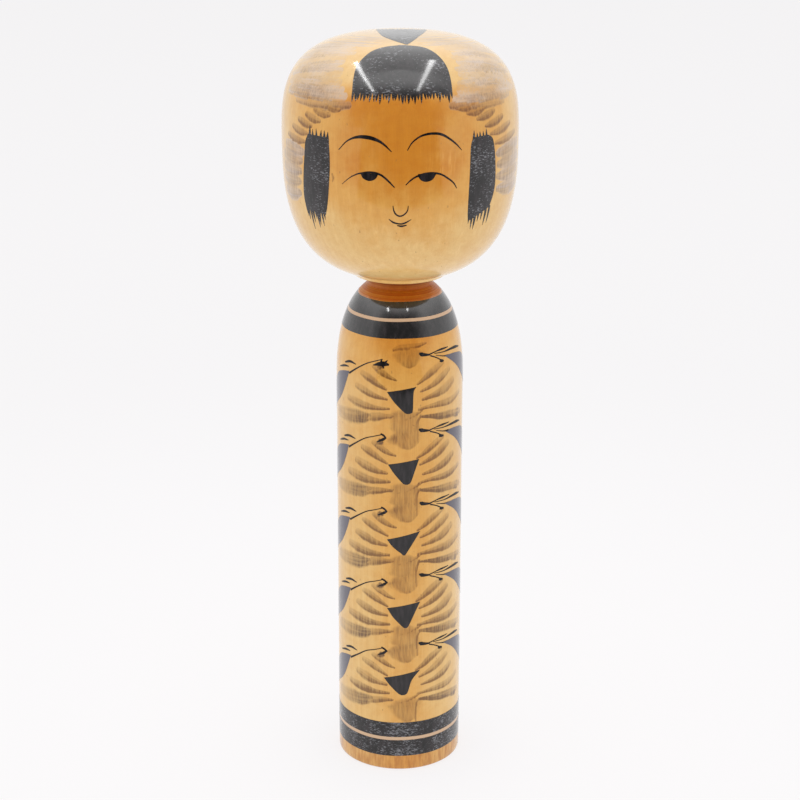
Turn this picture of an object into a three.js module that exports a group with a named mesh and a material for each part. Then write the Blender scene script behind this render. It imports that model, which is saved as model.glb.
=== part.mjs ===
// Kokeshi doll with a plugged-in head, built as three turned pieces:
// a cylindrical body with a drilled socket, a large squarish head, and the peg that joins them.
// The peg is glued into the head and turns in the body, so the head can be turned by hand.
// Millimetres, +Z up, the doll faces -Y, origin at the centre of the flat base.
import * as THREE from "three";

// Driving dimensions
const TOTAL_HEIGHT = 303; // one shaku
const FACETS_ROUND = 64; // on every turned piece

const BODY_RADIUS = 25.5;
const FOOT_CHAMFER = 0.7;
const SHOULDER_START = 165; // height where the straight side ends
const SHOULDER_RISE = 43; // height of the dome above that, if it closed on the axis
const SHOULDER_SQUARENESS = 2.45; // 2 is an ellipse, more is squarer
const NECK_RADIUS = 13;
const NECK_TOP = 208.2;
const NECK_EDGE = 0.6; // rounding at the top of the neck
const COVE_DROP = 1.6; // how far below the neck's foot the cove starts on the dome

const HEAD_RADIUS = 46;
const HEAD_WIDEST = 264; // height of the widest turn
const CROWN_RISE = TOTAL_HEIGHT - HEAD_WIDEST;
const CROWN_SQUARENESS = 3;
const CHIN_DROP = 55.8; // height of the head's lower half, if it closed on the axis
const CHIN_SQUARENESS = 2.8;
const CHIN_RIM = { topRadius: 19.6, footRadius: 18.4, edge: 0.5 }; // low rim round the seat
const SEAT_GAP = 0.3; // between the neck and the head's flat seat
const SEAT_HEIGHT = NECK_TOP + SEAT_GAP;

const PEG_RADIUS = 7.5;
const PEG_CHAMFER = 1.2;
const PEG_FOOT = NECK_TOP - 28;
const PEG_TOP = SEAT_HEIGHT + 30;
const TURNING_CLEARANCE = 0.2; // round the peg in the body, where it turns
const GLUE_CLEARANCE = 0.15; // round the peg in the head, where it is glued
const SOCKET_END_SPACE = 2; // past each end of the peg
const DRILL_POINT = 3; // height of the cone that the drill leaves

const shoulder = {
  fullRadius: BODY_RADIUS,
  widest: SHOULDER_START,
  rise: SHOULDER_RISE,
  squareness: SHOULDER_SQUARENESS,
};
const crown = {
  fullRadius: HEAD_RADIUS,
  widest: HEAD_WIDEST,
  rise: CROWN_RISE,
  squareness: CROWN_SQUARENESS,
};
const chin = {
  fullRadius: HEAD_RADIUS,
  widest: HEAD_WIDEST,
  rise: -CHIN_DROP,
  squareness: CHIN_SQUARENESS,
};

const point = (radius, height) => new THREE.Vector2(radius, height);

// The height of a superellipse quarter where it has the given radius.
function heightAt({ fullRadius, widest, rise, squareness }, radius) {
  const share = (radius / fullRadius) ** squareness;
  return widest + rise * (1 - share) ** (1 / squareness);
}

// The radius of a superellipse quarter at the given height.
function radiusAt({ fullRadius, widest, rise, squareness }, height) {
  const share = ((height - widest) / rise) ** squareness;
  return fullRadius * (1 - share) ** (1 / squareness);
}

// Points along a superellipse quarter, from its widest turn to the given radius.
function quarter(curve, endRadius, steps) {
  const { fullRadius, widest, rise, squareness } = curve;
  const lastAngle = Math.acos((endRadius / fullRadius) ** (squareness / 2));
  const points = [];
  for (let i = 0; i < steps; i++) {
    const angle = (lastAngle * i) / steps;
    const radius = fullRadius * Math.cos(angle) ** (2 / squareness);
    const height = widest + rise * Math.sin(angle) ** (2 / squareness);
    points.push(point(radius, height));
  }
  points.push(point(endRadius, heightAt(curve, endRadius)));
  return points;
}

// A closed profile turned about the Z axis.
function turned(name, profile, colour, roughness) {
  const material = new THREE.MeshStandardMaterial({ color: colour, roughness, metalness: 0 });
  const mesh = new THREE.Mesh(new THREE.LatheGeometry(profile, FACETS_ROUND), material);
  mesh.name = name;
  mesh.rotation.x = Math.PI / 2;
  return mesh;
}

function body() {
  const socketRadius = PEG_RADIUS + TURNING_CLEARANCE;
  const socketFloor = PEG_FOOT - SOCKET_END_SPACE;
  const neckFoot = heightAt(shoulder, NECK_RADIUS);
  const coveStart = neckFoot - COVE_DROP;
  const coveStartRadius = radiusAt(shoulder, coveStart);
  const cove = new THREE.QuadraticBezierCurve(
    point(coveStartRadius, coveStart),
    point(NECK_RADIUS, neckFoot),
    point(NECK_RADIUS, NECK_TOP - NECK_EDGE),
  );
  const profile = [
    point(0, 0),
    point(BODY_RADIUS - FOOT_CHAMFER, 0),
    point(BODY_RADIUS, FOOT_CHAMFER),
    ...quarter(shoulder, coveStartRadius, 12),
    ...cove.getPoints(4).slice(1),
    point(NECK_RADIUS - NECK_EDGE, NECK_TOP),
    point(socketRadius, NECK_TOP),
    point(socketRadius, socketFloor),
    point(0, socketFloor - DRILL_POINT),
  ];
  return turned("body", profile, 0xd9a257, 0.35);
}

function head() {
  const socketRadius = PEG_RADIUS + GLUE_CLEARANCE;
  const socketTop = PEG_TOP + SOCKET_END_SPACE;
  const profile = [
    point(0, socketTop + DRILL_POINT),
    point(socketRadius, socketTop),
    point(socketRadius, SEAT_HEIGHT),
    point(CHIN_RIM.footRadius, SEAT_HEIGHT),
    point(CHIN_RIM.footRadius + CHIN_RIM.edge, SEAT_HEIGHT + 2 * CHIN_RIM.edge),
    ...quarter(chin, CHIN_RIM.topRadius, 12).reverse(),
    ...quarter(crown, 0, 12).slice(1),
  ];
  return turned("head", profile, 0xe3b573, 0.3);
}

function neckPeg() {
  const profile = [
    point(0, PEG_FOOT),
    point(PEG_RADIUS - PEG_CHAMFER, PEG_FOOT),
    point(PEG_RADIUS, PEG_FOOT + PEG_CHAMFER),
    point(PEG_RADIUS, PEG_TOP - PEG_CHAMFER),
    point(PEG_RADIUS - PEG_CHAMFER, PEG_TOP),
    point(0, PEG_TOP),
  ];
  return turned("neck_peg", profile, 0xcfa574, 0.6);
}

const doll = new THREE.Group();
doll.add(body(), head(), neckPeg());

export default doll;
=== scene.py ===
import math
import random

import bpy
import numpy as np
from mathutils import Matrix, Vector


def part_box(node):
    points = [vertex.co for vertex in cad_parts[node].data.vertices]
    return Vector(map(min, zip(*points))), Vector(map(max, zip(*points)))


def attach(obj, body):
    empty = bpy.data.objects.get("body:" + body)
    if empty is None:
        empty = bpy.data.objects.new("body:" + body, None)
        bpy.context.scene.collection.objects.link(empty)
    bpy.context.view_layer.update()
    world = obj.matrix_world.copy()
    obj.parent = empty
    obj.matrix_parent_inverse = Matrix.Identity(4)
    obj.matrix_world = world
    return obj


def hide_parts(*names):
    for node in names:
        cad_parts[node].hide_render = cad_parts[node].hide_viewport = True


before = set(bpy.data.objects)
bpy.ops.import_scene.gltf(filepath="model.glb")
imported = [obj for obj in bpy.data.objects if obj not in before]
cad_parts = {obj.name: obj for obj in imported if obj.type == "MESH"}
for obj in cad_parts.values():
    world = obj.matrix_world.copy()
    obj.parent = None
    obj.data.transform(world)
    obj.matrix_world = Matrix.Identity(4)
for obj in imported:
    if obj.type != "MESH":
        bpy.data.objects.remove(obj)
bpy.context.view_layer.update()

chance = random.Random(7)

MM = 0.001
BODY_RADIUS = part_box("body")[1][0] / MM
NECK_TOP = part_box("body")[1][2] / MM
HEAD_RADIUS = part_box("head")[1][0] / MM
HEAD_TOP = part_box("head")[1][2] / MM
SEAT_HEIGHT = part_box("head")[0][2] / MM

SHOULDER_START, SHOULDER_RISE, SHOULDER_SQUARENESS = 165.0, 43.0, 2.45
HEAD_WIDEST, CHIN_DROP, CHIN_SQUARENESS, CROWN_SQUARENESS = 264.0, 55.8, 2.8, 3.0
NECK_START, NECK_FOOT, NECK_RADIUS = 201.4, 204.5, 13.0  # where the varnish ends, then the neck's foot

PEG_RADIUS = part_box("neck_peg")[1][0] / MM
PEG_FOOT, PEG_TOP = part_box("neck_peg")[0][2] / MM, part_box("neck_peg")[1][2] / MM
TURNING_CLEARANCE, GLUE_CLEARANCE = 0.2, 0.15  # round the peg, in the body and in the head
SOCKET_END_SPACE, DRILL_POINT = 2.0, 3.0  # past each end of the peg, then the drill's own cone

# Heights of the black bands, from their lower edge to their upper edge.
FOOT_BANDS = ((6.5, 13.8), (15.3, 22.0))
SHOULDER_BANDS = ((187.8, 194.0), (195.2, 200.9))
TOP_TIER, TIER_PITCH, TIERS = 168.0, 31.0, 5  # the flowers, from the top one down

INK_THICKNESS, INK_SINK = 0.05, 0.06  # how far a film stands above the wood and reaches into it


# ---- charts of the turned surfaces

def body_radius(height):
    """The body's radius at a height: straight side, then the dome of the shoulder."""
    rise = np.clip((height - SHOULDER_START) / SHOULDER_RISE, 0.0, 1.0)
    return BODY_RADIUS * (1 - rise**SHOULDER_SQUARENESS) ** (1 / SHOULDER_SQUARENESS)


def body_chart(angle, height):
    """A point on the body. The angle is in degrees from the front, positive to +X."""
    turn = np.radians(angle)
    radius = body_radius(height)
    return np.stack([radius * np.sin(turn), -radius * np.cos(turn), height + 0 * turn], -1)


def head_chart(longitude, latitude):
    """A point on the head, by the direction it is seen in from the middle of the widest turn."""
    turn, tilt = np.radians(longitude), np.radians(latitude)
    up = latitude >= 0
    rise = np.where(up, HEAD_TOP - HEAD_WIDEST, CHIN_DROP)
    power = np.where(up, CROWN_SQUARENESS, CHIN_SQUARENESS)
    across, along = np.abs(np.cos(tilt)) / HEAD_RADIUS, np.abs(np.sin(tilt)) / rise
    reach = (across**power + along**power) ** (-1 / power)
    radius = reach * np.cos(tilt)
    height = HEAD_WIDEST + reach * np.sin(tilt)
    return np.stack([radius * np.sin(turn), -radius * np.cos(turn), height + 0 * turn], -1)


def crown_chart(x, y):
    """A point on top of the head, by its place in plan."""
    radius = np.hypot(x, y)
    share = (radius / HEAD_RADIUS) ** CROWN_SQUARENESS
    rise = (HEAD_TOP - HEAD_WIDEST) * (1 - share) ** (1 / CROWN_SQUARENESS)
    return np.stack([x, y, HEAD_WIDEST + rise], -1)


def steps_along(chart, u, v):
    """The chart's millimetres per unit along u and v, and its outward normal."""
    small = 0.05
    du = (chart(u + small, v) - chart(u - small, v)) / (2 * small)
    dv = (chart(u, v + small) - chart(u, v - small)) / (2 * small)
    normal = np.cross(du, dv)
    normal /= np.linalg.norm(normal, axis=-1, keepdims=True)
    return np.linalg.norm(du, axis=-1), np.linalg.norm(dv, axis=-1), normal


def evenly(start, stop, step):
    """Values from start to stop, about a step apart."""
    return np.linspace(start, stop, max(int(round((stop - start) / step)), 1) + 1)


def smooth_path(points, samples):
    """A Catmull-Rom curve through the points, evenly sampled by its parameter."""
    p = np.array(points, float)
    p = np.vstack([2 * p[0] - p[1], p, 2 * p[-1] - p[-2]])
    t = np.linspace(0, len(points) - 1, samples)
    i = np.minimum(t.astype(int), len(points) - 2)
    t = (t - i)[:, None]
    a, b, c, d = p[i], p[i + 1], p[i + 2], p[i + 3]
    squared, cubed = 2 * a - 5 * b + 4 * c - d, 3 * b - a - 3 * c + d
    return 0.5 * (2 * b + (c - a) * t + squared * t**2 + cubed * t**3)


# ---- meshes

SHARP_ANGLE = math.radians(40)
THINNEST = 0.02  # half width that a stroke tapers to


def new_object(name, points, faces, material, body):
    """A mesh object from points in millimetres, with the material given, riding on a body."""
    mesh = bpy.data.meshes.new(name)
    mesh.from_pydata([tuple(p) for p in np.asarray(points) * MM], [], faces)
    mesh.validate()
    mesh.materials.append(material)
    mesh.polygons.foreach_set("use_smooth", [True] * len(mesh.polygons))
    mesh.set_sharp_from_angle(angle=SHARP_ANGLE)
    made = bpy.data.objects.new(name, mesh)
    bpy.context.scene.collection.objects.link(made)
    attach(made, body)
    return made


class Film:
    """Thin closed sheets of ink, gathered into one piece."""

    def __init__(self):
        self.points = []
        self.faces = []

    def sheet(self, chart, u, v):
        """Adds a closed sheet over a grid of chart places, rows by columns, facing outward."""
        rows, columns = u.shape
        r, c = min(rows // 2, rows - 2), min(columns // 2, columns - 2)
        across = u[r, c + 1] - u[r, c], v[r, c + 1] - v[r, c]
        along = u[r + 1, c] - u[r, c], v[r + 1, c] - v[r, c]
        if across[0] * along[1] < across[1] * along[0]:
            u, v = u[:, ::-1], v[:, ::-1]
        place = chart(u, v)
        normal = steps_along(chart, u, v)[2]
        lift = INK_THICKNESS * (1 + 0.1 * chance.random())  # so that films that cross don't coincide
        start = sum(len(p) for p in self.points)
        size = rows * columns
        self.points.append((place + lift * normal).reshape(-1, 3))
        self.points.append((place - INK_SINK * normal).reshape(-1, 3))
        at = np.arange(size).reshape(rows, columns) + start
        for r in range(rows - 1):
            for c in range(columns - 1):
                a, b, d, e = at[r, c], at[r, c + 1], at[r + 1, c + 1], at[r + 1, c]
                self.faces.append((a, b, d, e))
                self.faces.append((e + size, d + size, b + size, a + size))
        rim = list(at[0, :]) + list(at[1:, -1]) + list(at[-1, -2::-1]) + list(at[-2:0:-1, 0])
        for a, b in zip(rim, rim[1:] + rim[:1]):
            self.faces.append((a, a + size, b + size, b))

    def stroke(self, chart, path, half_widths, samples=None):
        """Adds a brush stroke along chart places; half widths are spread evenly, in millimetres."""
        samples = samples or 8 * len(path)
        line = smooth_path(path, samples)
        share = np.linspace(0, 1, len(half_widths))
        half = np.interp(np.linspace(0, 1, samples), share, half_widths)
        per_u, per_v, _ = steps_along(chart, line[:, 0], line[:, 1])
        run = np.gradient(line, axis=0) * np.stack([per_u, per_v], -1)
        run /= np.linalg.norm(run, axis=1, keepdims=True) + 1e-9
        side = np.linspace(1, -1, 5)[:, None] * np.maximum(half, THINNEST)
        u = line[:, 0] - side * run[:, 1] / per_u
        v = line[:, 1] + side * run[:, 0] / per_v
        self.sheet(chart, u, v)

    def patch(self, chart, one_edge, other_edge, rows, columns):
        """Adds a sheet between two edges, each a smooth curve through its own chart places."""
        first, last = smooth_path(one_edge, rows), smooth_path(other_edge, rows)
        share = np.linspace(0, 1, columns)[None, :, None]
        grid = first[:, None] * (1 - share) + last[:, None] * share
        self.sheet(chart, grid[..., 0], grid[..., 1])

    def piece(self, name, material, body):
        """Makes the object that holds every sheet so far."""
        new_object(name, np.vstack(self.points), self.faces, material, body)


def circles(profile, angles):
    """Points round the Z axis at each (radius, height) of a profile."""
    turn = np.radians(angles)
    return [(r * x, -r * y, z) for r, z in profile for x, y in zip(np.sin(turn), np.cos(turn))]


def turned(name, profile, angles, material, body):
    """A closed surface turned about Z, from a profile between two points of the axis, wood on its left."""
    inner = profile[1:-1]
    points = [(0, 0, profile[0][1]), *circles(inner, angles), (0, 0, profile[-1][1])]
    n = len(angles)
    faces = []
    for c in range(n):
        after = (c + 1) % n
        faces.append((0, 1 + after, 1 + c))
        for r in range(len(inner) - 1):
            low, high = 1 + r * n, 1 + (r + 1) * n
            faces.append((low + c, low + after, high + after, high + c))
        last = 1 + (len(inner) - 1) * n
        faces.append((last + c, last + after, len(points) - 1))
    return new_object(name, points, faces, material, body)


def ring_faces(rows, around):
    """The faces of a closed ring, from rows of points round it; the last row joins the first."""
    faces = []
    for r in range(rows):
        up = (r + 1) % rows
        for c in range(around):
            after = (c + 1) % around
            faces.append((r * around + c, r * around + after, up * around + after, up * around + c))
    return faces


# ---- node helpers

class Nodes:
    """A short way to write a node tree."""

    def __init__(self, tree):
        self.tree = tree

    def put(self, socket, value):
        """Feeds a socket from another socket, or sets its constant."""
        if isinstance(value, bpy.types.NodeSocket):
            self.tree.links.new(value, socket)
        elif socket.type == "RGBA" and len(value) == 3:
            socket.default_value = (*value, 1.0)
        else:
            socket.default_value = value

    def operate(self, kind, operation, values):
        """Adds a node of a kind that takes an operation, and gives its outputs."""
        node = self.tree.nodes.new(kind)
        node.operation = operation
        for socket, value in zip(node.inputs, values):
            self.put(socket, value)
        return node.outputs

    def vector(self, operation, *values):
        outputs = self.operate("ShaderNodeVectorMath", operation, values)
        return outputs["Value" if operation == "LENGTH" else "Vector"]

    def maths(self, operation, *values):
        return self.operate("ShaderNodeMath", operation, values)[0]

    def axis(self, vector, name):
        """One part of a vector: X, Y or Z."""
        node = self.tree.nodes.new("ShaderNodeSeparateXYZ")
        self.put(node.inputs[0], vector)
        return node.outputs[name]

    def ramp(self, value, low, high, to_low=0.0, to_high=1.0):
        """Eases from one value to another as its input goes from low to high."""
        node = self.tree.nodes.new("ShaderNodeMapRange")
        node.interpolation_type = "SMOOTHSTEP"
        for socket, given in zip(node.inputs, (value, low, high, to_low, to_high)):
            self.put(socket, given)
        return node.outputs[0]

    def mix(self, share, a, b, blend="MIX"):
        """A colour between a and b. The node's sockets 6, 7 and 2 are those for colours."""
        node = self.tree.nodes.new("ShaderNodeMix")
        node.data_type = "RGBA"
        node.blend_type = blend
        for number, value in ((0, share), (6, a), (7, b)):
            self.put(node.inputs[number], value)
        return node.outputs[2]

    def tinted(self, share, colour, tint):
        """The colour multiplied by a tint, by the share given."""
        return self.mix(share, colour, tint, "MULTIPLY")


class Surface(Nodes):
    """The nodes of a new material, with its shader and each point's place in millimetres."""

    def __init__(self, name):
        self.material = bpy.data.materials.new(name)
        self.material.use_nodes = True
        super().__init__(self.material.node_tree)
        self.shader = self.tree.nodes["Principled BSDF"]
        place = self.tree.nodes.new("ShaderNodeTexCoord").outputs["Object"]
        self.place = self.vector("MULTIPLY", place, (1 / MM, 1 / MM, 1 / MM))

    def shade(self, inputs):
        """Sets the shader's inputs by name."""
        for name, value in inputs.items():
            self.put(self.shader.inputs[name], value)

    def noise(self, stretch, detail=2.0, roughness=0.5, where=None):
        """Noise with one blob about each 1 / stretch millimetres along each axis."""
        node = self.tree.nodes.new("ShaderNodeTexNoise")
        self.put(node.inputs["Vector"], self.vector("MULTIPLY", where or self.place, stretch))
        node.inputs["Scale"].default_value = 1.0
        node.inputs["Detail"].default_value = detail
        node.inputs["Roughness"].default_value = roughness
        return node.outputs["Fac"]

    def attribute(self, name, output="Fac"):
        node = self.tree.nodes.new("ShaderNodeAttribute")
        node.attribute_name = name
        return node.outputs[output]

    def bump(self, height, distance_mm):
        """A faint relief from a height, which counts for the distance given."""
        node = self.tree.nodes.new("ShaderNodeBump")
        node.inputs["Strength"].default_value = 0.25
        node.inputs["Distance"].default_value = distance_mm * MM
        self.put(node.inputs["Height"], height)
        return node.outputs["Normal"]

    def varnish(self, coat=1.0, gloss=1.45):
        """Old varnish over everything, by how much is left and by its index of refraction."""
        self.shade({"Coat Weight": coat, "Coat Roughness": 0.10, "Coat IOR": gloss})
        self.shade({"Specular IOR Level": 0.12})


# ---- materials

DEEP_AMBER = (0.60, 0.222, 0.014)
HONEY = (0.71, 0.37, 0.082)
CREAM = (0.77, 0.50, 0.19)
SPECK_BROWN = (0.30, 0.14, 0.04)
WORN_PALE = (0.80, 0.62, 0.46)
LIGHT_LINE = (0.60, 0.40, 0.25)

# Tints multiply a colour; those above 1 make it paler.
RING_TINT = (0.82, 0.74, 0.62)
FIBRE_TINT = (0.80, 0.68, 0.52)
STREAK_TINT = (1.14, 1.22, 1.40)
CLOUD_TINT = (0.92, 0.82, 0.66)
PORE_TINT = (0.62, 0.46, 0.32)
# The chin and seat tints are painted light: the white floor's bounce on the underside of the head.
CHIN_FLOOR_LIGHT_TINT = (1.10, 1.14, 1.22)
SEAT_FLOOR_LIGHT_TINT = (1.12, 1.14, 1.16)
SCUFF_TINT = (1.16, 1.32, 2.0)
NECK_TINT = (0.66, 0.38, 0.24)
# Painted shade: darkens the top of the neck, just under the head.
NECK_TOP_SHADE_TINT = (0.50, 0.40, 0.36)
FOOT_PALE, FOOT_DARK = (0.93, 0.82, 0.68), (0.66, 0.46, 0.32)
DYE_BROWN = (0.36, 0.295, 0.25)
DYE_GREY = (0.24, 0.215, 0.27)

INK_DENSE, INK_THIN = (0.004, 0.003, 0.003), (0.024, 0.018, 0.020)
INK_FADED, INK_RUBBED = (0.11, 0.10, 0.13), (0.26, 0.26, 0.28)
PEG_PALE, PEG_DARK, PEG_PORE = (0.62, 0.44, 0.25), (0.50, 0.33, 0.17), (0.30, 0.18, 0.09)

PITH = (-62.0, 38.0, 0.0)
SCUFF = (17.0, -42.0, 261.5)


def from_point(n, point, stretch):
    """How far each place is from a point, in millimetres stretched along each axis."""
    return n.vector("LENGTH", n.vector("MULTIPLY", n.vector("SUBTRACT", n.place, point), stretch))


def grain(n):
    """Faint growth rings, long fibres and fine pores of a pale close-grained wood."""
    wander = n.noise((0.06, 0.06, 0.012), detail=3)
    pith_distance = n.maths("MULTIPLY", from_point(n, PITH, (1, 1, 0.03)), 1.9)
    ring_phase = n.maths("MULTIPLY_ADD", wander, 9.0, pith_distance)
    rings = n.maths("MULTIPLY_ADD", n.maths("SINE", ring_phase), 0.5, 0.5)
    fibres = n.noise((2.2, 2.2, 0.06), detail=4, roughness=0.6)
    pores = n.ramp(n.noise((7.0, 7.0, 0.35), detail=1), 0.62, 0.72)
    return rings, fibres, pores


def amber_depth(n, low, high, crown):
    """How deep the amber is: it grows from low to high, and pales at the sides, back and crown."""
    height = n.axis(n.place, "Z")
    aside = n.maths("MULTIPLY", n.axis(n.place, "X"), 1 / 45)
    mottle = n.noise((0.07, 0.07, 0.05), detail=4, roughness=0.6)
    behind = n.ramp(n.axis(n.place, "Y"), 0.0, 40.0, 0.0, 0.5)
    paler = n.maths("MULTIPLY_ADD", aside, aside, behind)
    depth = n.maths("SUBTRACT", n.ramp(height, low, high), paler)
    depth = n.maths("ADD", depth, n.maths("MULTIPLY_ADD", mottle, 0.8, -0.4))
    return n.maths("MULTIPLY", depth, n.ramp(height, crown, crown + 10.0, 1.0, 0.0))


def wood_colour(n, depth):
    """Aged wood at a depth of amber, with its grain, streaks, clouds and a few specks."""
    rings, fibres, pores = grain(n)
    colour = n.mix(n.ramp(depth, 0.0, 0.5), CREAM, HONEY)
    colour = n.mix(n.ramp(depth, 0.5, 1.0), colour, DEEP_AMBER)
    colour = n.tinted(n.maths("MULTIPLY", rings, 0.15), colour, RING_TINT)
    colour = n.tinted(n.ramp(fibres, 0.38, 0.75, 0.0, 0.26), colour, FIBRE_TINT)
    streaks = n.noise((0.5, 0.5, 0.02), detail=3)
    colour = n.tinted(n.ramp(streaks, 0.52, 0.72, 0.0, 0.35), colour, STREAK_TINT)
    clouds = n.noise((0.22, 0.22, 0.30), detail=4, roughness=0.65)
    colour = n.tinted(n.ramp(clouds, 0.40, 0.66, 0.0, 0.45), colour, CLOUD_TINT)
    colour = n.tinted(n.maths("MULTIPLY", pores, 0.18), colour, PORE_TINT)
    specks = n.ramp(n.noise((1.1, 1.1, 0.6), detail=0), 0.83, 0.86)
    return n.mix(n.maths("MULTIPLY", specks, 0.5), colour, SPECK_BROWN), fibres


def dye_amount(n):
    """How much dye shows: streaked along its stroke, caught by the grain, darker at the lower edge."""
    hairs = n.noise((0.07, 0.95, 1.0), detail=3, where=n.attribute("dye_place", "Vector"))
    blots = n.noise((0.45, 0.45, 0.45), detail=3)
    worn = n.maths("MULTIPLY_ADD", hairs, 0.35, n.maths("MULTIPLY", blots, 0.40))
    reach = n.maths("ADD", n.attribute("dye_edge"), worn)
    inside = n.ramp(reach, 1.0, 1.52, 1.0, 0.0)
    pooled = n.ramp(n.attribute("dye_up"), -0.7, 0.5, 0.12, -0.52)
    brownness = n.ramp(n.attribute("dye_grey"), 0.2, 1.0, 1.0, 0.2)
    lower = n.maths("MULTIPLY_ADD", pooled, brownness, 1.0)
    caught = n.ramp(n.noise((1.7, 1.7, 0.16), detail=4), 0.36, 0.64, 0.62, 1.0)
    dry = n.ramp(hairs, 0.32, 0.60, 0.70, 1.0)
    texture = n.maths("MULTIPLY", n.maths("MULTIPLY", caught, dry), n.maths("MULTIPLY", inside, lower))
    return n.maths("MINIMUM", n.maths("MULTIPLY", texture, n.attribute("dye")), 1.0)


def worn_haze(n, dye, greyness, most):
    """How far the greyest strokes have worn to a pale haze, with pale scratches along them."""
    rubbed = n.ramp(n.noise((0.09, 0.09, 0.22), detail=3), 0.38, 0.62, 0.45, 1.0)
    along = n.noise((0.05, 0.9, 1.0), detail=2, where=n.attribute("dye_place", "Vector"))
    pale = n.maths("MULTIPLY_ADD", n.ramp(along, 0.60, 0.68), 0.5, rubbed)
    pale = n.maths("MULTIPLY", n.maths("MULTIPLY", pale, greyness), n.ramp(dye, 0.0, 0.3, 0.0, most))
    return n.maths("MINIMUM", pale, 1.0)


def dyed(n, colour, haze=0.0):
    """The wood's colour, stained by the dye, with the share of haze given under its grey strokes."""
    dye, greyness = dye_amount(n), n.attribute("dye_grey")
    if haze:
        colour = n.mix(worn_haze(n, dye, greyness, haze), colour, WORN_PALE)
    return n.tinted(dye, colour, n.mix(greyness, DYE_BROWN, DYE_GREY))


def finish_wood(n, colour, fibres, coat=1.0):
    """Puts the colour on the shader, under varnish, with the fine relief of grain and lathe."""
    lathe = n.noise((0.02, 0.02, 2.4), detail=2)
    relief = n.bump(n.maths("MULTIPLY_ADD", fibres, 0.7, lathe), 0.03)
    n.shade({"Base Color": colour, "Roughness": n.ramp(fibres, 0.2, 0.8, 0.34, 0.46), "Normal": relief})
    n.varnish(coat)


def head_material():
    """Deep amber over the face, paler toward the chin and sides, with painted light from the white floor
    under the chin, and a scuff beside one eye.
    """
    n = Surface("head_varnished_wood")
    height = n.axis(n.place, "Z")
    under_chin = n.ramp(height, 210.0, 219.0, 0.2, 0.0)
    depth = n.maths("ADD", amber_depth(n, 220.0, 264.0, 283.0), under_chin)
    colour, fibres = wood_colour(n, depth)
    # Painted light: the chin and the seat below it are made paler, as if lit from the white floor.
    colour = n.tinted(n.ramp(height, 212.0, 232.0, 1.0, 0.0), colour, CHIN_FLOOR_LIGHT_TINT)
    colour = n.tinted(n.ramp(height, 211.0, 219.0, 1.0, 0.0), colour, SEAT_FLOOR_LIGHT_TINT)
    scuffed = n.ramp(from_point(n, SCUFF, (0.11, 0.05, 0.16)), 0.3, 1.0, 0.8, 0.0)
    streaked = n.ramp(n.noise((1.1, 1.1, 0.12), detail=3), 0.44, 0.62)
    colour = n.tinted(n.maths("MULTIPLY", scuffed, streaked), colour, SCUFF_TINT)
    finish_wood(n, dyed(n, colour, haze=0.75), fibres)
    return n.material


def body_amber(n, height):
    """The body's depth of amber: deepest in front and at the shoulder, palest at its sides."""
    paler_below = n.ramp(height, 20.0, 150.0, 0.22, 0.38)
    depth = n.maths("MULTIPLY_ADD", amber_depth(n, 166.0, 192.0, 400.0), 0.42, paler_below)
    off_centre = n.maths("ABSOLUTE", n.maths("SUBTRACT", n.axis(n.place, "X"), 2.0))
    depth = n.maths("ADD", depth, n.ramp(off_centre, 3.0, 17.0, 0.14, -0.10))
    at_side = n.ramp(off_centre, 12.0, 24.0, 0.0, 0.28)
    return n.maths("SUBTRACT", depth, n.maths("MULTIPLY", n.ramp(height, 174.0, 185.0), at_side))


def body_material(name, coat):
    """The body's wood, stained dark on the neck, with painted shade at the neck's top under the head, two
    light lines and a bare sawn foot.
    """
    n = Surface(name)
    height = n.axis(n.place, "Z")
    colour, fibres = wood_colour(n, body_amber(n, height))
    colour = dyed(n, colour)
    lathe_lines = n.noise((0.01, 0.01, 2.2), detail=2)
    neck = n.ramp(n.maths("MULTIPLY_ADD", lathe_lines, 1.2, height), NECK_START - 0.2, NECK_START + 0.8)
    neck_shade = n.ramp(lathe_lines, 0.38, 0.62, 0.6, 1.05)
    colour = n.tinted(n.maths("MULTIPLY", neck, neck_shade), colour, NECK_TINT)
    # Painted shade: the neck's top darkens toward the head that overhangs it.
    colour = n.tinted(n.ramp(height, NECK_FOOT, 207.9), colour, NECK_TOP_SHADE_TINT)
    for (_, low), (high, _) in (FOOT_BANDS, SHOULDER_BANDS):
        above, below = n.ramp(height, low - 0.2, low), n.ramp(height, high, high + 0.2, 1.0, 0.0)
        colour = n.mix(n.maths("MULTIPLY", above, below), colour, LIGHT_LINE)
    streaks = n.ramp(n.noise((0.7, 0.7, 0.12), detail=3), 0.3, 0.7)
    bare = n.ramp(height, 6.2, 7.0, 1.0, 0.0)
    colour = n.tinted(bare, colour, n.mix(streaks, FOOT_PALE, FOOT_DARK))
    finish_wood(n, colour, fibres, coat)
    return n.material


def ink_material(name, wear, faded=0.0, ripple=0.0, specks_relief=1.0, coat=1.0, gloss=1.45):
    """Black ink under old varnish, rubbed through in short scratches and specks, or faded all over."""
    n = Surface(name)
    rubbed = n.noise((0.13, 0.13, 0.10), detail=2)
    specks = n.noise((0.8, 0.8, 2.3), detail=4, roughness=0.7)
    bare = n.ramp(n.maths("MULTIPLY_ADD", rubbed, 0.35, specks), 0.95 - wear, 1.05 - wear)
    thin = n.noise((0.7, 0.7, 0.16), detail=3)
    ink = n.mix(faded, n.mix(n.ramp(thin, 0.35, 0.75), INK_DENSE, INK_THIN), INK_FADED)
    colour = n.mix(n.maths("MULTIPLY", bare, 0.7), ink, INK_RUBBED)
    lathe = n.noise((0.01, 0.01, 4.5), detail=0)
    relief = n.maths("MULTIPLY_ADD", lathe, ripple, n.maths("MULTIPLY", specks, specks_relief))
    n.shade({"Base Color": colour, "Roughness": n.ramp(thin, 0.3, 0.8, 0.32, 0.50)})
    n.shade({"Normal": n.bump(relief, 0.04)})
    n.varnish(coat, gloss)
    return n.material


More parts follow.
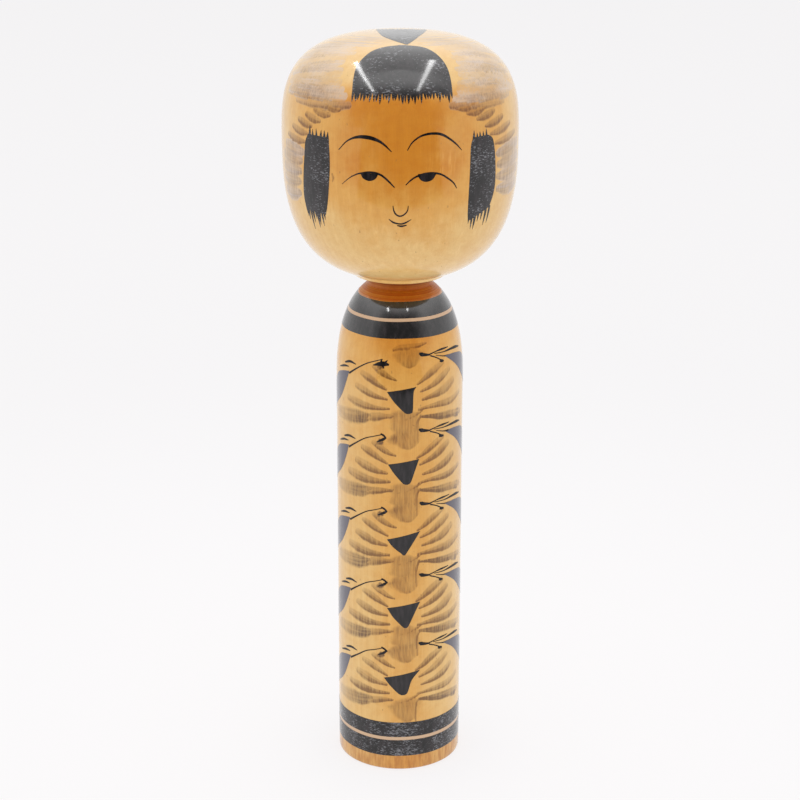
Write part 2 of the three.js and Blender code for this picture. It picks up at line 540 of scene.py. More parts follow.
def peg_material():
    """Plain unvarnished wood."""
    n = Surface("peg_wood")
    rings, fibres, pores = grain(n)
    colour = n.mix(n.ramp(fibres, 0.3, 0.7), PEG_PALE, PEG_DARK)
    colour = n.mix(n.maths("MULTIPLY", pores, 0.4), colour, PEG_PORE)
    n.shade({"Base Color": colour, "Roughness": n.ramp(rings, 0.0, 1.0, 0.6, 0.75)})
    return n.material


# ---- faded dye

UNDYED = 3.0  # distance from a stroke, in its half widths, past which there is surely no dye
BLUNT_ENDS = 1.5  # how much faster a stroke fades past its ends than at its sides
STROKE_APART = 7.3  # keeps the streaks of one stroke unlike those of the next


def vertex_vectors(mesh, key):
    """A three-part value of every vertex, such as its position."""
    values = np.empty(3 * len(mesh.vertices))
    mesh.vertices.foreach_get(key, values)
    return values.reshape(-1, 3)


def lay_dye(made, strokes):
    """Writes, at each vertex, its place on the nearest stroke and how strong the dye is there."""
    mesh = made.data
    place, normal = vertex_vectors(mesh, "co") / MM, vertex_vectors(mesh, "normal")
    count = len(place)
    edge, spot = np.full(count, UNDYED), np.zeros((count, 3))
    upper, strength, grey = np.zeros(count), np.zeros(count), np.zeros(count)
    for number, (chart, path, half_widths, ink, greyness) in enumerate(strokes):
        samples = 5 * len(path)
        line = smooth_path(path, samples)
        line = chart(line[:, 0], line[:, 1])
        share = np.linspace(0, 1, samples)
        half = np.interp(share, np.linspace(0, 1, len(half_widths)), half_widths)
        amount = np.interp(share, np.linspace(0, 1, len(ink)), ink)
        reach = 2.5 * half.max() + 1.0
        low, high = line.min(0) - reach, line.max(0) + reach
        near = np.flatnonzero(((place > low) & (place < high)).all(1))
        travelled = 0.0
        for i in range(samples - 1):
            run = line[i + 1] - line[i]
            length = np.linalg.norm(run)
            offset = place[near] - line[i]
            t = np.clip(offset @ run / length**2, 0, 1)
            away = offset - t[:, None] * run
            past_end = np.abs(away @ run) / length
            width = half[i] + t * (half[i + 1] - half[i])
            ratio = (np.linalg.norm(away, axis=1) + BLUNT_ENDS * past_end) / width
            nearer = ratio < edge[near]
            hit = near[nearer]
            edge[hit] = ratio[nearer]
            side = np.einsum("ij,ij->i", np.cross(normal[near], run)[nearer], away[nearer])
            spot[hit, 0] = travelled + t[nearer] * length
            spot[hit, 1] = side / length
            spot[hit, 2] = STROKE_APART * number
            upper[hit] = (away[:, 2] / width)[nearer]
            strength[hit] = (amount[i] + t * (amount[i + 1] - amount[i]))[nearer]
            grey[hit] = greyness
            travelled += length
    fields = {"dye_edge": edge, "dye": strength, "dye_grey": grey, "dye_up": upper, "dye_place": spot}
    for name, values in fields.items():
        kind, key = ("FLOAT", "value") if values.ndim == 1 else ("FLOAT_VECTOR", "vector")
        field = mesh.attributes.new(name, kind, "POINT")
        field.data.foreach_set(key, np.ascontiguousarray(values, np.float32).ravel())


def jittered(path, degrees, height):
    """The same path moved a little, as a hand would."""
    du, dv = chance.uniform(-degrees, degrees), chance.uniform(-height, height)
    return [(u + du + chance.uniform(-0.3, 0.3), v + dv + chance.uniform(-0.1, 0.1)) for u, v in path]


# The strokes of one flower, by degrees round the body and millimetres above the flower's own tier.
# Each petal runs from its outer end to the black heart, with its half width and how grey it is.
PETALS = [
    ([(-25, 8.6), (-16.5, 6.3), (-9.5, 4.4), (-3, 3.3)], 1.26, 0.3),
    ([(-36, 5.3), (-26.5, 3.5), (-18, 1.3), (-10.7, -0.6)], 1.59, 0.2),
    ([(-43, -0.6), (-31.6, -2.3), (-22, -3.8), (-11, -4.6)], 1.76, 0.15),
    ([(-53, -6.6), (-42, -7.4), (-31.6, -8.1), (-20.5, -8.4), (-8.5, -8.3)], 1.81, 0.3),
    ([(-31, -13.2), (-23, -12.3), (-14, -11.7), (-6, -11.5)], 1.65, 0.4),
    ([(43.5, 9.5), (31, 6.4), (23, 3.8), (15.5, 1.8)], 1.54, 0.15),
    ([(50.5, 5.9), (39.3, 2.9), (30, 0.6), (18.6, -1.3)], 1.59, 0.1),
    ([(57, 0.6), (46, -2.1), (34.3, -3.8), (20.5, -5.2)], 1.76, 0.15),
    ([(69, -6.0), (53, -7.9), (39.5, -8.1), (28.5, -8.3), (17, -8.9)], 1.59, 0.2),
    ([(72, -14.3), (51, -13.3), (38, -12.8), (28, -12.1), (19, -11.7)], 1.65, 0.7),
]
PETAL_WIDTHS, PETAL_INK = (0.8, 1.15, 1.0, 0.62, 0.32), (0.6, 1.05, 1.4, 1.55, 1.6)

# The rest have a path, half widths, ink and greyness. A translucent tongue hangs from each heart
# to the next: a column and then a bowl. Only its bowl shows above the top heart, under a slanted
# stroke, and only its column below the last one.
TOP_EDGE = [(27, 17.9), (18, 17.0), (9, 16.7), (1, 16.3), (-6, 15.6)]
TOP_TONGUE = [
    ([(8.5, 14.6), (8.8, 11.8), (9.3, 9.6)], (6.4, 5.2, 3.0), (0.7, 0.75, 1.0), 0.1),
    (TOP_EDGE, (0.4, 1.0, 1.5, 1.3, 0.6), (1.2, 1.0), 0.1),
]
TONGUE = [
    ([(5.5, 20.6), (5, 17.5), (4.6, 14.5)], (6.2, 5.6, 6.6), (1.05, 0.85, 0.9), 0.15),
    ([(4.6, 12.2), (6.8, 9.4), (8.4, 6.8)], (7.6, 5.8, 3.6), (1.15, 0.85, 0.95), 0.15),
]
LAST_TONGUE = [([(5.5, 17.8), (7.5, 14.0), (9.5, 10.6)], (7.4, 5.4, 3.2), (0.95, 0.9, 0.9), 0.15)]

# The top and right outline of the tongue below a heart, then a grey mark under the left stem and
# a grey blot at each side of the body.
OUTLINE_TOP = [(-1, -12.9), (7, -12.2), (14, -10.6), (20, -9.2)]
OUTLINE_SIDE = [(19, -11.2), (16.4, -13.8), (15.8, -17.6), (16.6, -22.6)]
LEFT_BLOT = [(-74, -14.8), (-58, -14.5), (-43, -13.9), (-34, -13.4), (-26, -12.4)]
UNDER_HEART = [
    (OUTLINE_TOP, (0.4, 0.75, 0.7, 0.4), (1.3, 1.5), 0.0),
    (OUTLINE_SIDE, (0.45, 0.62, 0.55, 0.3), (1.7, 1.6, 1.2), 0.1),
    ([(-16, 9.2), (-21, 7.2)], (1.5, 1.0), (1.5, 1.2), 1.0),
    (LEFT_BLOT, (2.4, 3.2, 3.3, 2.7, 1.3), (0.45, 0.55, 1.0, 1.15, 0.9), 1.0),
    ([(58, -14.2), (66, -14.6)], (1.6, 2.2), (1.0, 1.2), 1.0),
]


def body_dye():
    """The faded strokes of every flower, as lay_dye takes them."""
    strokes = []

    def dab(level, path, half_widths, ink, greyness):
        moved = [(u, v + level) for u, v in jittered(path, 0.6, 0.25)]
        strokes.append((body_chart, moved, half_widths, ink, greyness))

    for tier in range(TIERS):
        level = TOP_TIER - tier * TIER_PITCH
        for stroke in (TONGUE if tier else TOP_TONGUE) + UNDER_HEART:
            dab(level, *stroke)
        for path, usual, greyness in PETALS:
            wide, dark = usual * chance.uniform(0.9, 1.18), chance.uniform(0.85, 1.15)
            widths = [wide * share for share in PETAL_WIDTHS]
            dab(level, path, widths, [dark * ink for ink in PETAL_INK], greyness)
    for stroke in LAST_TONGUE:
        dab(TOP_TIER - TIERS * TIER_PITCH, *stroke)
    return strokes


# Short leaves run down each side of the face, outside the side locks. Their inner ends lie on one
# curve and their outer ends on another, and so many of them fill it.
LEFT_LEAVES = (
    [(-28.6, 20.2), (-46.2, 9.8), (-52.5, -4.6), (-55.6, -21.2)],
    [(-38.5, 22.0), (-58.3, 12.0), (-72.8, -4.0), (-74.0, -22.8)],
    11,
)
RIGHT_LEAVES = (
    [(28.1, 21.0), (43.0, 11.8), (52.0, -2.2), (52.6, -19.0)],
    [(38.0, 22.4), (57.4, 14.9), (76.0, -0.2), (77.0, -19.4)],
    10,
)
BROWN_LEAVES = 6  # the first few on each side; the rest have worn to grey
NICK = [(-33.2, -9), (-32.8, -11), (-33.2, -13.2)]  # a mark beside the inner edge of one side lock


def temple_washes(side, dab):
    """Long overlapping strokes that sweep from the fringe over one temple, with finer ones above."""
    for i in range(10):
        share = i / 9
        lat = 56 - 30.5 * share + chance.uniform(-0.8, 0.8)
        near = 27 + 13 * (1 - share) ** 0.6 * chance.uniform(0.55, 1.1)
        far = 92 - 24 * share + chance.uniform(-8, 8)
        drop = 14 - 12 * share
        middle = (side * (near + far) / 2, lat - 0.35 * drop)
        path = [(side * near, lat), middle, (side * far, lat - drop)]
        wide = chance.uniform(2.6, 4.0)
        dark = chance.uniform(0.15, 0.55) + 0.22 * share
        dab(path, (0.4 * wide, wide, 0.9 * wide, 0.3 * wide), (0.5 * dark, dark, dark, 0.6 * dark), 1.0)
        streak = [(u, v + chance.uniform(-2.0, 2.0)) for u, v in path]
        dab(streak, (0.2, 0.6, 0.5, 0.2), (0.2, chance.uniform(0.5, 1.1), 0.3), 0.5)
    for i in range(5):
        lat, near = 58 + 3.5 * i + chance.uniform(-1, 1), chance.uniform(16, 30)
        path = [(side * near, lat), (side * 50, lat - 2), (side * chance.uniform(75, 100), lat - 9)]
        dab(path, (0.4, 1.2, 0.9, 0.3), (0.2, chance.uniform(0.3, 0.6), 0.3), 1.0)
    lowest = [(side * 24, 22.4), (side * 34, 21.6), (side * 46, 21.0), (side * 60, 20.8)]
    dab(lowest, (1.5, 2.1, 1.8, 1.0), (1.0, 1.1, 0.9, 0.6), 0.25)


def head_dye():
    """The faded strokes of the head, as lay_dye takes them. The back is left plain."""
    strokes = []

    def dab(path, half_widths, ink, greyness):
        strokes.append((head_chart, jittered(path, 0.4, 0.25), half_widths, ink, greyness))

    for side in (-1, 1):
        temple_washes(side, dab)
    for inner, outer, number in (LEFT_LEAVES, RIGHT_LEAVES):
        for i, ends in enumerate(zip(smooth_path(inner, number), smooth_path(outer, number))):
            (u0, v0), (u1, v1) = ends
            middle = ((u0 + u1) / 2, (v0 + v1) / 2 - 0.5)
            grey, wide, dark = (0.04, 0.86, 1.3) if i < BROWN_LEAVES else (0.9, 1.7, 0.75)
            widths = (0.8 * wide, 1.9 * wide, 2.1 * wide, 1.2 * wide)
            dab([(u0, v0), middle, (u1, v1)], widths, (dark, dark, 0.8 * dark), grey)
    strokes.append((head_chart, NICK, (0.4, 0.6, 0.3), (1.3, 1.3), 0.0))
    return strokes


# ---- wood pieces

def body_wood():
    """The body up to the neck, with the lower part of the socket that the peg turns in."""
    profile = [(0.0, 0.0)]
    profile += [(BODY_RADIUS - worn, z) for worn, z in ((1.3, 0.0), (0.6, 0.12), (0.15, 0.45))]
    profile += [(BODY_RADIUS, z) for z in evenly(1.0, 22.0, 1.5)]
    for start, stop, step in ((22.0, 190.0, 0.62), (190.0, NECK_START, 0.22)):
        profile += [(float(body_radius(z)), z) for z in evenly(start, stop, step)[1:]]
    socket, floor = PEG_RADIUS + TURNING_CLEARANCE, PEG_FOOT - SOCKET_END_SPACE
    profile += [(socket, NECK_START), (socket, floor), (0.0, floor - DRILL_POINT)]
    front, back = evenly(-84.0, 84.0, 0.8), evenly(84.0, 276.0, 3.0)[1:-1]
    material = body_material("body_varnished_wood", coat=1.0)
    made = turned("body_wood", profile, [*front, *back], material, "body")
    lay_dye(made, body_dye())
    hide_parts("body")


def neck():
    """The neck is waxed rather than varnished, and keeps fine ripples from the lathe."""
    ripple, ripple_pitch, waist, top = 0.045, 0.9, 0.12, NECK_TOP - 0.05
    profile = [(float(body_radius(NECK_START)), NECK_START)]
    for z in evenly(NECK_START, NECK_FOOT, 0.22)[1:]:
        profile.append((float(body_radius(z)) + ripple * math.sin(2 * math.pi * z / ripple_pitch), z))
    for z in evenly(NECK_FOOT, NECK_TOP - 0.4, 0.3)[1:]:
        profile.append((NECK_RADIUS - waist * math.sin(math.pi * (z - NECK_FOOT) / 3.6), z))
    socket = PEG_RADIUS + TURNING_CLEARANCE
    profile += [(NECK_RADIUS - 0.5, top), (socket, top), (socket, NECK_START)]
    angles = evenly(-180.0, 180.0, 3.0)[:-1]
    faces = ring_faces(len(profile), len(angles))
    wax = body_material("neck_waxed_wood", coat=0.2)
    new_object("neck", circles(profile, angles), faces, wax, "body")


def head_wood():
    """The head from its socket, which the peg is glued into, out across the seat and up to the crown."""
    socket, roof = PEG_RADIUS + GLUE_CLEARANCE, PEG_TOP + SOCKET_END_SPACE
    profile = [(0.0, roof + DRILL_POINT), (socket, roof), (socket, SEAT_HEIGHT)]
    for radius, rise in ((18.2, 0.0), (18.5, 0.25), (18.85, 0.9), (19.25, 1.45)):
        profile.append((radius, SEAT_HEIGHT + rise))
    lowest = -math.degrees(math.atan2(HEAD_WIDEST - SEAT_HEIGHT - 1.65, 19.9))
    latitudes = np.concatenate([evenly(lowest, 30.0, 0.62), evenly(30.0, 89.0, 0.73)[1:]])
    profile += [(-y, z) for _, y, z in head_chart(np.zeros_like(latitudes), latitudes)]
    profile.append((0.0, HEAD_TOP))
    angles = evenly(-180.0, 180.0, 0.9)[:-1]
    made = turned("head_wood", profile, angles, head_material(), "head")
    lay_dye(made, head_dye())
    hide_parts("head")


def peg():
    """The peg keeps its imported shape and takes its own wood."""
    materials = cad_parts["neck_peg"].data.materials
    materials.clear()
    materials.append(peg_material())


# ---- ink on the body

def bands(place, heights, ink):
    """Two black bands brushed on while the body spun, with slightly wavy edges."""
    angles = evenly(-180.0, 180.0, 1.0)[:-1]
    wave = 0.05 * np.sin(np.radians(3 * angles)) + 0.04 * np.sin(np.radians(7 * angles + 50))
    for level, (low, high) in zip(("lower", "upper"), heights):
        outside = [z + wave * (z in (low, high)) for z in evenly(low, high, 0.35)]
        rows = []
        for lift, lines in ((INK_THICKNESS, outside), (-INK_SINK, outside[::-1])):
            for v in lines:
                rows.append(body_chart(angles, v) + lift * steps_along(body_chart, angles, v)[2])
        faces = ring_faces(len(rows), len(angles))
        new_object(f"{place}_band_{level}", np.vstack(rows), faces, ink, "body")


# The black heart of each flower, from the top tier down: its left corner, foot, how blunt the
# foot is, the bend of its right side and its right tip.
HEARTS = [
    ((-11.2, -1.4), (7.7, -10.4), 4.0, (12.4, -1.8), (14.8, 0.6)),
    ((-10.3, -0.7), (6.5, -9.2), 4.0, (14.8, -2.4), (17.8, 1.4)),
    ((-11.2, -1.9), (4.3, -8.7), 2.6, (14.1, -2.3), (19.0, 1.4)),
    ((-11.2, -1.1), (5.8, -9.9), 3.2, (15.4, -2.4), (19.4, 1.4)),
    ((-14.1, -1.6), (3.6, -9.3), 4.4, (12.0, -2.6), (19.8, 1.7)),
]


def flower_hearts(ink):
    """One heart on each tier, between its left and right edges from the foot up."""
    film = Film()
    for tier, (corner, (u, v), blunt, bend, tip) in enumerate(HEARTS):
        level = TOP_TIER - tier * TIER_PITCH
        waist = ((2 * corner[0] + u) / 3, 0.55 * corner[1] + 0.45 * v)
        left = [(u - 0.3 * blunt, v), (u - blunt, v + 0.8), waist, corner]
        right = [(u + 0.3 * blunt, v), (u + blunt, v + 1.2), bend, tip]
        edges = [[(a, b + level) for a, b in edge] for edge in (left, right)]
        film.patch(body_chart, *edges, rows=30, columns=14)
    film.piece("flower_hearts", ink, "body")


# The black marks of one tier, by degrees and by millimetres above the tier, with half widths. The
# left stem ends in a hook of two strokes, and on the top tier in a ragged blob.
LEFT_STEM = [(-52, 3.2), (-42, 6.2), (-32, 9.0), (-23.5, 10.4), (-16, 11.5)]
BLOB = [
    ([(-25, 8.8), (-19.5, 9.5), (-14.5, 9.7), (-9.8, 9.5)], (0.15, 0.8, 1.05, 0.3)),
    ([(-18, 9.6), (-16.8, 11.7)], (0.55, 0.4, 0.1)),
    ([(-14, 9.8), (-11.2, 11.3)], (0.55, 0.4, 0.1)),
    ([(-16.5, 9.4), (-14.6, 7.9)], (0.55, 0.4, 0.1)),
]
HOOK = [
    ([(-17.0, 11.9), (-14.2, 11.3), (-11.4, 10.2)], (0.35, 0.42, 0.3)),
    ([(-11.8, 10.4), (-15.5, 9.3), (-20.4, 8.3)], (0.3, 0.6, 0.42, 0.15)),
]
OVER_LEFT_LEAF = [
    ([(-69.5, 4.0), (-60, 5.5), (-53, 5.9)], (0.15, 0.45, 0.4, 0.15)),
    ([(-59.5, 7.0), (-51, 8.1), (-43.2, 7.7)], (0.3, 0.5, 0.45, 0.15)),
]
RIGHT_SPRIG = [
    ([(17.8, 13.8), (21.8, 13.1), (28.8, 12.7)], (0.3, 0.85, 0.6, 0.3)),
    ([(28.4, 12.9), (38, 13.8), (51, 14.1)], (0.28, 0.2, 0.42, 0.15)),
    ([(33, 12.9), (44, 12.7), (54, 12.9), (63, 12.8), (71, 12.2)], (0.15, 0.2, 0.45, 0.6, 0.2)),
    ([(28.6, 12.3), (35.2, 11.1), (42, 9.3)], (0.28, 0.22, 0.3)),
    ([(38.6, 9.5), (43.6, 9.2)], (0.4, 0.65, 0.3)),
    ([(35, 12.1), (43.5, 11.1), (50.4, 10.7)], (0.12, 0.22, 0.45)),
]

# The upper and lower edges of the broad leaves.
LEFT_LEAF = (
    [(-52.2, 4.1), (-62, 3.2), (-73, 1.2), (-85, -4), (-96, -12), (-102, -19)],
    [(-52.2, 3.6), (-56.5, -1.0), (-62.6, -6), (-70, -9.6), (-84, -14), (-101, -19.4)],
)
RIGHT_LEAF = (
    [(45.5, 11.0), (54, 11.0), (63, 10.6), (76, 9.0), (90, 4), (100, -3), (106, -10)],
    [(45.5, 10.8), (49.5, 9.7), (58.3, 7.0), (66.5, 3.8), (75.5, -0.4), (88, -5), (105, -10.4)],
)


def unsteady(path, du, dv):
    """The path moved to its place, with each point a little off sideways."""
    return [(u + du + chance.uniform(-0.3, 0.3), v + dv) for u, v in path]


def sprigs(ink, leaf_ink):
    """Black stems and small marks between the flowers, and one broad faded leaf at each side."""
    film, leaves = Film(), Film()
    left_stem = (LEFT_STEM, (0.42, 0.28, 0.22, 0.18, 0.18))
    for tier in range(TIERS):
        du, dv = jittered([(0, TOP_TIER - tier * TIER_PITCH)], 0.6, 0.2)[0]
        left_marks = [left_stem] + (HOOK if tier else BLOB) + OVER_LEFT_LEAF
        for marks, leaf in ((left_marks, LEFT_LEAF), (RIGHT_SPRIG, RIGHT_LEAF)):
            for path, half_widths in marks:
                film.stroke(body_chart, unsteady(path, du, dv), half_widths)
            edges = [unsteady(edge, du, dv) for edge in leaf]
            leaves.patch(body_chart, *edges, rows=40, columns=20)
    film.piece("leaf_sprigs", ink, "body")
    leaves.piece("broad_leaves", leaf_ink, "body")


# ---- ink on the head

def bristles(film, chart, along, start, reach, half_width, spread=0.4, blunt=0.6):
    """Tapered spikes that a brush leaves at the end of a stroke, set side by side."""
    for u in along:
        length = reach * chance.uniform(1 - spread, 1 + spread)
        lean = chance.uniform(-0.5, 0.5)
        path = [(u, start), (u + 0.3 * lean, start + length / 2), (u + lean, start + length)]
        width = half_width * chance.uniform(0.8, 1.15)
        film.stroke(chart, path, (width, 0.95 * width, blunt * width, 0.04), samples=14)


def fringe(ink):
    """The fringe is solid at the top and breaks into bristle marks over the forehead."""
    film = Film()
    left = [(-24.4, 28.4), (-25.6, 35), (-26.4, 41), (-25.0, 47), (-21.6, 53), (-13.6, 57.4), (-1.0, 59.9)]
    right = [(26.6, 28.4), (27.6, 35), (28.2, 41), (27.4, 47), (24.6, 53), (18.4, 57.4), (4.5, 59.9)]
    film.patch(head_chart, left, right, rows=48, columns=48)
    bristles(film, head_chart, np.linspace(-23.8, 26.0, 33), 30.5, -5.6, 0.62, 0.22, blunt=0.75)
    film.piece("hair_fringe", ink, "head")


def crown_tuft(ink):
    """The tied end of the hair: a fan that opens backwards over the top of the head."""
    film = Film()
    left = [(1.9, -21.0), (-1.6, -17.4), (-4.6, -13.0), (-6.8, -8), (-8.0, -2), (-8.8, 4), (-9.2, 9)]
    right = [(2.7, -21.0), (4.4, -17.4), (5.9, -13.0), (7.1, -8), (8.6, -2), (9.6, 4), (10.0, 9)]
    film.patch(crown_chart, left, right, rows=40, columns=20)
    bristles(film, crown_chart, np.linspace(-8.6, 9.4, 13), 7.8, 3.4, 0.8)
    film.piece("hair_crown", ink, "head")


def side_lock(name, edges, top_bristles, bottom_bristles, ink):
    """A lock of hair in front of one ear, pulled down with a flat dry brush."""
    film = Film()
    film.patch(head_chart, *edges, rows=48, columns=24)
    bristles(film, head_chart, *top_bristles)
    bristles(film, head_chart, *bottom_bristles)
    film.piece(name, ink, "head")


def side_locks(ink):
    """The doll's own right lock, then its left."""
    outer = [(-48.3, 7.4), (-50.4, 3.4), (-51.2, -3), (-52.1, -10)]
    outer += [(-52.8, -16.5), (-53.2, -22.5), (-52.6, -27.0)]
    inner = [(-35.2, 7.4), (-34.7, 1.7), (-34.5, -6), (-35.2, -14)]
    inner += [(-36.1, -20), (-37.4, -25), (-38.8, -28.4)]
    top = ((-47.2, -44.9, -42.4, -39.9, -37.6, -35.9), 4.0, 6.8, 0.75, 0.12)
    bottom = (np.linspace(-52.0, -39.8, 9), -24.0, -9.6, 0.68, 0.32)
    side_lock("hair_lock_right", (outer, inner), top, bottom, ink)
    inner = [(36.0, 7.4), (34.7, 3.4), (34.4, -6), (34.2, -14), (34.2, -21), (34.6, -27), (35.4, -30.6)]
    outer = [(45.4, 7.6), (48.5, 5.6), (50.2, 0.4), (51.2, -8.3), (51.5, -16), (50.6, -21.2), (48.6, -26.0)]
    top = ((36.4, 38.5, 40.4, 42.4, 44.3), 4.0, 6.0, 0.75, 0.12)
    bottom = ((35.6, 37.4, 39.4, 41.6, 43.8, 46.4, 48.8), -25.5, -8.6, 0.68, 0.38)
    side_lock("hair_lock_left", (inner, outer), top, bottom, ink)


def brows(ink):
    """Thin arched brows, thickest just past the middle of the arch."""
    film = Film()
    path = [(-29.5, 2.4), (-25.8, 6.3), (-22.6, 8.2), (-19.4, 9.1), (-15.9, 9.2)]
    path += [(-12.6, 8.7), (-9.6, 7.6), (-6.9, 5.8), (-3.9, 2.9)]
    film.stroke(head_chart, path, (0.14, 0.22, 0.36, 0.56, 0.74, 0.70, 0.52, 0.36, 0.14), samples=80)
    path = [(3.3, 3.6), (5.5, 7.1), (8.8, 9.6), (12.1, 10.7), (16.2, 10.9)]
    path += [(19.6, 10.2), (23.1, 8.2), (26.8, 5.3), (29.6, 2.3)]
    film.stroke(head_chart, path, (0.14, 0.24, 0.32, 0.42, 0.48, 0.46, 0.38, 0.28, 0.12), samples=80)
    film.piece("brows", ink, "head")


def eyes(ink):
    """Narrow eyes: a long upper lid and the lower part of a round iris beneath it."""
    film = Film()
    lid = [(-28.0, -13.4), (-24.1, -10.2), (-20.5, -8.2), (-18.0, -7.5), (-14.6, -6.9)]
    lid += [(-11.2, -7.1), (-8.2, -8.3), (-5.3, -10.7), (-2.5, -13.5)]
    film.stroke(head_chart, lid, (0.08, 0.16, 0.24, 0.32, 0.38, 0.40, 0.38, 0.34, 0.2), samples=80)
    lid = [(2.6, -12.4), (4.9, -10.2), (7.5, -8.6), (10.8, -7.5), (14.9, -7.2)]
    lid += [(19.0, -8.0), (22.6, -10.1), (25.6, -12.5), (27.3, -15.1)]
    film.stroke(head_chart, lid, (0.16, 0.28, 0.34, 0.38, 0.38, 0.34, 0.32, 0.26, 0.14), samples=80)
    for iris in (
        [(-18.4, -7.9), (-17.2, -9.9), (-14.3, -10.9), (-11.5, -9.9), (-10.0, -7.6)],
        [(8.3, -8.6), (9.8, -10.4), (12.2, -11.1), (15.0, -10.3), (16.8, -7.9)],
    ):
        film.patch(head_chart, [(u, -7.4) for u, _ in iris], iris, rows=26, columns=10)
    film.piece("eyes", ink, "head")


def nose_and_mouth(ink):
    """A nose in one curved line, and a mouth with a short line for its lower lip."""
    nose, mouth = Film(), Film()
    bridge = [(-3.3, -21.6), (-2.9, -23.8), (-1.8, -25.5), (0.0, -26.2)]
    bridge += [(2.0, -25.5), (3.5, -23.8), (3.9, -21.6)]
    nose.stroke(head_chart, bridge, (0.12, 0.26, 0.3, 0.3, 0.28, 0.22, 0.12), samples=60)
    nose.piece("nose", ink, "head")
    lips = [(-5.3, -27.6), (-3.1, -29.0), (0.0, -29.6), (2.4, -29.2), (5.4, -27.7)]
    mouth.stroke(head_chart, lips, (0.12, 0.34, 0.28, 0.34, 0.1), samples=50)
    lower_lip = [(-1.4, -30.3), (0.8, -30.6), (3.2, -30.2)]
    mouth.stroke(head_chart, lower_lip, (0.18, 0.4, 0.18), samples=24)
    mouth.piece("mouth", ink, "head")


# ---- stage

CAMERA_DISTANCE = 0.8114
CAMERA_PITCH, CAMERA_ROLL = math.radians(18.81), math.radians(0.12)
AIM = (0.00015, 0.0, 0.1548)
BACKDROP = (0.905, 0.888, 0.896)


def camera():
    """A long lens, looking slightly down on the doll."""
    data = bpy.data.cameras.new("camera")
    data.lens, data.sensor_width = 90.0, 36.0
    data.clip_start = 0.01
    made = bpy.data.objects.new("camera", data)
    back = Vector((0.0, -math.cos(CAMERA_PITCH), math.sin(CAMERA_PITCH)))
    look = (-back).to_track_quat("-Z", "Y").to_matrix().to_4x4()
    place = Matrix.Translation(Vector(AIM) + CAMERA_DISTANCE * back)
    made.matrix_world = place @ look @ Matrix.Rotation(CAMERA_ROLL, 4, "Z")
    bpy.context.scene.collection.objects.link(made)
    bpy.context.scene.camera = made


def card(name, corners, material):
    """A flat sheet of the stage."""
    mesh = bpy.data.meshes.new(name)
    mesh.from_pydata(corners, [], [(0, 1, 2, 3)])
    mesh.materials.append(material)
    made = bpy.data.objects.new(name, mesh)
    bpy.context.scene.collection.objects.link(made)
    return made


def white_floor():
    """A sheet of white card, with a faint glow of its own that keeps the contact shadow soft."""
    n = Surface("floor_white")
    away = n.vector("LENGTH", n.place)
    n.shade({"Base Color": (0.20, 0.199, 0.20), "Roughness": 0.9, "Specular IOR Level": 0.0})
    glow = n.maths("SUBTRACT", n.ramp(away, 50.0, 600.0, 0.75, 0.70), n.ramp(away, 400.0, 2500.0, 0.0, 0.025))
    n.shade({"Emission Color": (1.0, 0.985, 0.995), "Emission Strength": glow})
    corners = [(9.0 * x, 9.0 * y, 0.0) for x, y in ((-1, -1), (1, -1), (1, 1), (-1, 1))]
    card("floor", corners, n.material)


def dark_table():
    """A dark sheet in front, seen only in the varnish: it keeps the lower reflections dark."""
    n = Surface("room_dark")
    n.shade({"Base Color": (0.10, 0.10, 0.10), "Roughness": 1.0, "Specular IOR Level": 0.1})
    height, near, far, near_side, far_side = 0.004, -0.50, -8.9, 0.45, 6.0
    corners = [(-far_side, far), (far_side, far), (near_side, near), (-near_side, near)]
    made = card("dark_table", [(x, y, height) for x, y in corners], n.material)
    made.visible_camera = False
    made.visible_diffuse = False
    made.visible_shadow = False
    made.visible_transmission = False


def tube_light(name, x, swing, radiance):
    """A long fluorescent tube above, running front to back, seen only as a highlight."""
    width, length = 0.06, 1.42
    data = bpy.data.lights.new(name, "AREA")
    data.shape = "RECTANGLE"
    data.size, data.size_y = width, length
    data.energy = radiance * math.pi * width * length
    made = bpy.data.objects.new(name, data)
    made.location = (x, -0.27, 1.29)
    made.rotation_euler = (0.0, 0.0, math.radians(swing))
    made.visible_diffuse = False
    made.visible_camera = False
    bpy.context.scene.collection.objects.link(made)


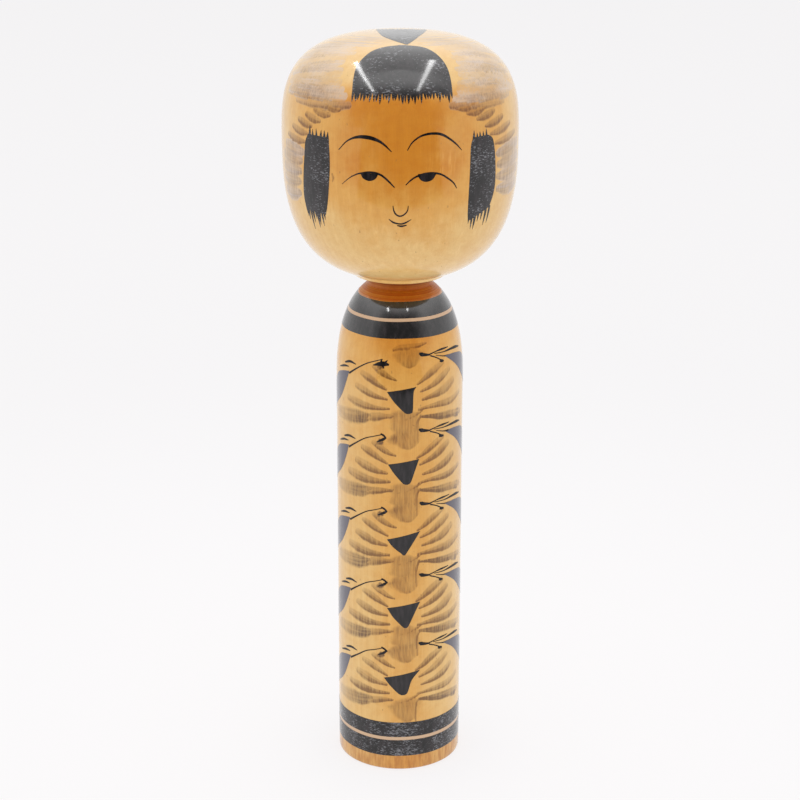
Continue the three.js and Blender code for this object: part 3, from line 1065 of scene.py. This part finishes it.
def room_light():
    """A white tent for the camera and soft light; what shines back is a bright room, dark in front."""
    world = bpy.data.worlds.new("white_room")
    world.use_nodes = True
    n = Nodes(world.node_tree)
    toward = n.tree.nodes.new("ShaderNodeTexCoord").outputs["Generated"]
    x, y, z = (n.axis(toward, name) for name in "XYZ")
    level = n.maths("ADD", n.maths("MULTIPLY", x, x), n.maths("MULTIPLY_ADD", y, y, 0.0001))
    facing = n.maths("DIVIDE", n.maths("MULTIPLY", y, -1.0), n.maths("SQRT", level))
    dark = n.maths("MULTIPLY", n.ramp(facing, 0.40, 0.95), n.ramp(z, 0.55, 0.92, 1.0, 0.0))
    overhead = n.maths("MULTIPLY", n.ramp(facing, 0.0, 0.8), n.ramp(z, 0.62, 0.94, 0.0, 1.4))
    bright = n.maths("ADD", n.ramp(z, 0.30, 0.70, 1.0, 1.85), overhead)
    lit = n.maths("MULTIPLY", n.maths("SUBTRACT", 1.0, dark), bright)
    glossy = n.maths("ADD", n.maths("MULTIPLY", dark, 0.16), lit)
    soft = n.ramp(z, 0.2, 1.0, 1.0, 1.25)
    rays = n.tree.nodes.new("ShaderNodeLightPath").outputs
    difference = n.maths("MULTIPLY", rays["Is Glossy Ray"], n.maths("SUBTRACT", glossy, soft))
    colour = n.mix(rays["Is Camera Ray"], n.maths("ADD", difference, soft), BACKDROP)
    n.put(n.tree.nodes["Background"].inputs["Color"], colour)
    bpy.context.scene.world = world


def stage():
    """Everything round the doll: floor, reflections, tubes and the room's own light."""
    white_floor()
    dark_table()
    tube_light("tube_left", -0.51, -7.5, 20.0)
    tube_light("tube_right", 0.327, 4.0, 15.0)
    room_light()
    bpy.context.scene.view_settings.view_transform = "Standard"


camera()
body_wood()
neck()
head_wood()
peg()
shoulder_ink = ink_material("shoulder_ink", 0.06, ripple=2.0, specks_relief=0.3, gloss=1.68)
foot_ink = ink_material("foot_ink", 0.255)
hair_ink = ink_material("hair_ink", 0.21)
heart_ink = ink_material("heart_ink", -0.2)
face_ink = ink_material("fine_ink", -0.2, coat=0.4)
bands("foot", FOOT_BANDS, foot_ink)
bands("shoulder", SHOULDER_BANDS, shoulder_ink)
flower_hearts(heart_ink)
sprigs(face_ink, ink_material("leaf_ink", 0.05, faded=0.85))
fringe(hair_ink)
crown_tuft(hair_ink)
side_locks(hair_ink)
brows(face_ink)
eyes(face_ink)
nose_and_mouth(face_ink)
stage()
